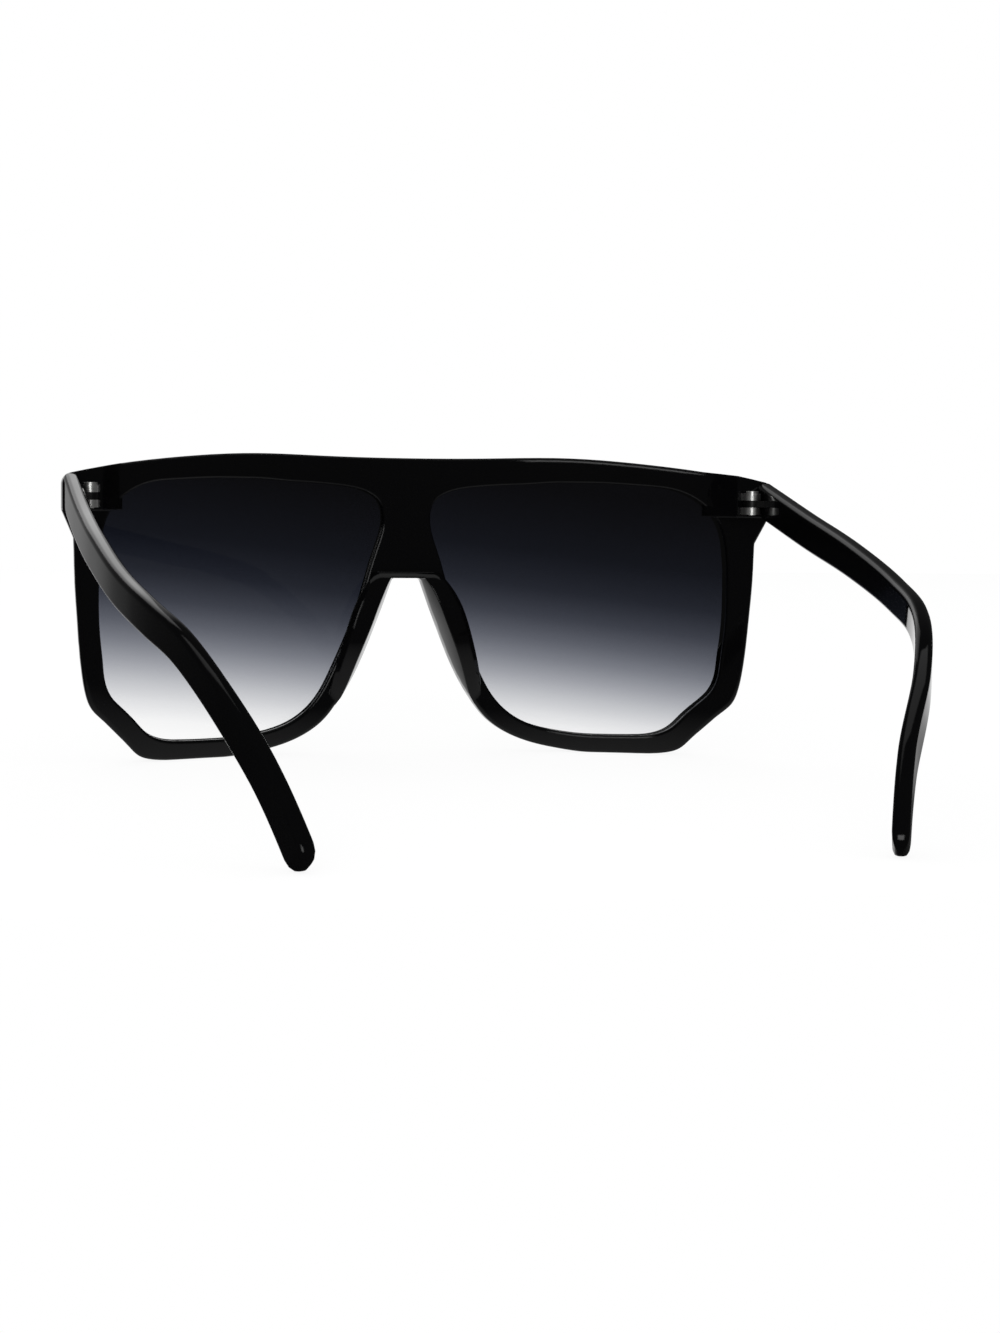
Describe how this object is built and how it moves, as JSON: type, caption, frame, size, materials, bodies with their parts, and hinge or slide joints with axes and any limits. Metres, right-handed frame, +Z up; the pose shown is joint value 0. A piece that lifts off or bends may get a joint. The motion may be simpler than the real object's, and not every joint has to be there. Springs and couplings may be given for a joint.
{
  "type": "flat top sunglasses",
  "caption": "Oversized flat top sunglasses: wrapped one-piece front with moulded nose pads, tinted lenses and temples that fold on metal hinges.",
  "frame": {"origin": "on the surface the glasses stand on, under the middle of their box", "axes": "+X to the wearer's left, +Y towards the ear tips so the front faces -Y, +Z up"},
  "size_m": [0.1484, 0.1636, 0.0637],
  "materials": {
    "frame_plastic": "polished black",
    "lens_tint": "graded grey tint, dark at the top and clear at the bottom",
    "hinge_steel": "bright",
    "hinge_dark": "dark plated",
    "screw_steel": "turned"
  },
  "bodies": {
    "front": {"front_frame": "frame_plastic", "left_lens": "lens_tint", "right_lens": "lens_tint", "left_frame_hinge": "hinge_steel", "right_frame_hinge": "hinge_steel", "left_hinge_screw": "screw_steel", "right_hinge_screw": "screw_steel"},
    "left_arm": {"left_temple": "frame_plastic", "left_temple_hinge": "hinge_dark"},
    "right_arm": {"right_temple": "frame_plastic", "right_temple_hinge": "hinge_dark"}
  },
  "joints": [
    {"name": "left_fold", "type": "hinge", "parent": "front", "child": "left_arm", "pos_m": [0.0688, -0.05159, 0.05442], "axis": [0, 0, 1], "range_deg": [0, 82]},
    {"name": "right_fold", "type": "hinge", "parent": "front", "child": "right_arm", "pos_m": [-0.0688, -0.05159, 0.05442], "axis": [0, 0, -1], "range_deg": [0, 76]}
  ]
}
